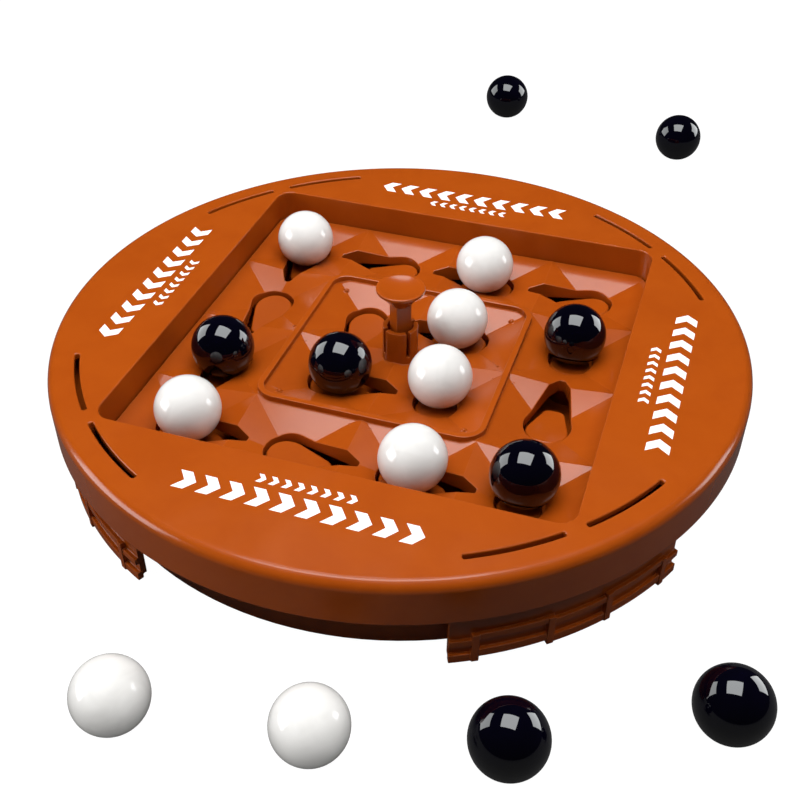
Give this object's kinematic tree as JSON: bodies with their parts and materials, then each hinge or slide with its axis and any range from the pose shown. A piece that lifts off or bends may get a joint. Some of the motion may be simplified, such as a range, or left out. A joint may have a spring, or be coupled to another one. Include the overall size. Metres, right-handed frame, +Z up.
{
  "type": "marble strategy board",
  "caption": "Round press-to-roll marble board: a faceted square tray on springs sinks over fixed pads when its centre knob is pressed, moving each marble one seat on.",
  "frame": {"origin": "on the table, under the knob, at the middle of the round board", "axes": "+Z up, +X to the right along the near edge of the square well, +Y away from the near side, towards the far side of the well"},
  "size_m": [0.2356, 0.3912, 0.0475],
  "materials": {
    "terracotta_plastic": "satin injection-moulded orange-brown plastic",
    "white_gloss": "polished opaque white",
    "black_gloss": "polished opaque black",
    "screw_steel": "zinc-plated steel",
    "spring_steel": "bright spring wire"
  },
  "bodies": {
    "casing": {"base_shell": "terracotta_plastic", "top_cover": "terracotta_plastic", "lifter_plate": "terracotta_plastic", "cover_screws": "screw_steel", "plate_screws": "screw_steel", "leg_screws": "screw_steel", "corner_leg_1": "terracotta_plastic", "corner_leg_2": "terracotta_plastic", "corner_leg_3": "terracotta_plastic", "corner_leg_4": "terracotta_plastic", "return_spring_1": "spring_steel", "return_spring_2": "spring_steel", "return_spring_3": "spring_steel", "return_spring_4": "spring_steel"},
    "tray": {"track_tray": "terracotta_plastic", "press_knob": "terracotta_plastic", "knob_screw": "screw_steel", "stop_screws": "screw_steel"},
    "white_marble_1": {"white_marble_1": "white_gloss"},
    "white_marble_2": {"white_marble_2": "white_gloss"},
    "white_marble_3": {"white_marble_3": "white_gloss"},
    "white_marble_4": {"white_marble_4": "white_gloss"},
    "white_marble_5": {"white_marble_5": "white_gloss"},
    "white_marble_6": {"white_marble_6": "white_gloss"},
    "white_marble_7": {"white_marble_7": "white_gloss"},
    "white_marble_8": {"white_marble_8": "white_gloss"},
    "black_marble_1": {"black_marble_1": "black_gloss"},
    "black_marble_2": {"black_marble_2": "black_gloss"},
    "black_marble_3": {"black_marble_3": "black_gloss"},
    "black_marble_4": {"black_marble_4": "black_gloss"},
    "black_marble_5": {"black_marble_5": "black_gloss"},
    "black_marble_6": {"black_marble_6": "black_gloss"},
    "black_marble_7": {"black_marble_7": "black_gloss"},
    "black_marble_8": {"black_marble_8": "black_gloss"}
  },
  "joints": [
    {"name": "tray_press", "type": "slide", "parent": "casing", "child": "tray", "axis": [0, 0, -1], "range_m": [0, 0.006], "stiffness_N_per_m": 900, "springref_m": -0.004, "deforming": ["return_spring_1", "return_spring_2", "return_spring_3", "return_spring_4"]},
    {"name": "white_marble_1_lift", "type": "slide", "parent": "casing", "child": "white_marble_1", "axis": [0, 0, 1], "range_m": [0, 0.04]},
    {"name": "white_marble_2_lift", "type": "slide", "parent": "casing", "child": "white_marble_2", "axis": [0, 0, 1], "range_m": [0, 0.04]},
    {"name": "white_marble_3_lift", "type": "slide", "parent": "casing", "child": "white_marble_3", "axis": [0, 0, 1], "range_m": [0, 0.04]},
    {"name": "white_marble_4_lift", "type": "slide", "parent": "casing", "child": "white_marble_4", "axis": [0, 0, 1], "range_m": [0, 0.04]},
    {"name": "white_marble_5_lift", "type": "slide", "parent": "casing", "child": "white_marble_5", "axis": [0, 0, 1], "range_m": [0, 0.04]},
    {"name": "white_marble_6_lift", "type": "slide", "parent": "casing", "child": "white_marble_6", "axis": [0, 0, 1], "range_m": [0, 0.04]},
    {"name": "white_marble_7_lift", "type": "slide", "parent": "casing", "child": "white_marble_7", "axis": [0, 0, 1], "range_m": [0, 0.04]},
    {"name": "white_marble_8_lift", "type": "slide", "parent": "casing", "child": "white_marble_8", "axis": [0, 0, 1], "range_m": [0, 0.04]},
    {"name": "black_marble_1_lift", "type": "slide", "parent": "casing", "child": "black_marble_1", "axis": [0, 0, 1], "range_m": [0, 0.04]},
    {"name": "black_marble_2_lift", "type": "slide", "parent": "casing", "child": "black_marble_2", "axis": [0, 0, 1], "range_m": [0, 0.04]},
    {"name": "black_marble_3_lift", "type": "slide", "parent": "casing", "child": "black_marble_3", "axis": [0, 0, 1], "range_m": [0, 0.04]},
    {"name": "black_marble_4_lift", "type": "slide", "parent": "casing", "child": "black_marble_4", "axis": [0, 0, 1], "range_m": [0, 0.04]},
    {"name": "black_marble_5_lift", "type": "slide", "parent": "casing", "child": "black_marble_5", "axis": [0, 0, 1], "range_m": [0, 0.04]},
    {"name": "black_marble_6_lift", "type": "slide", "parent": "casing", "child": "black_marble_6", "axis": [0, 0, 1], "range_m": [0, 0.04]},
    {"name": "black_marble_7_lift", "type": "slide", "parent": "casing", "child": "black_marble_7", "axis": [0, 0, 1], "range_m": [0, 0.04]},
    {"name": "black_marble_8_lift", "type": "slide", "parent": "casing", "child": "black_marble_8", "axis": [0, 0, 1], "range_m": [0, 0.04]}
  ]
}
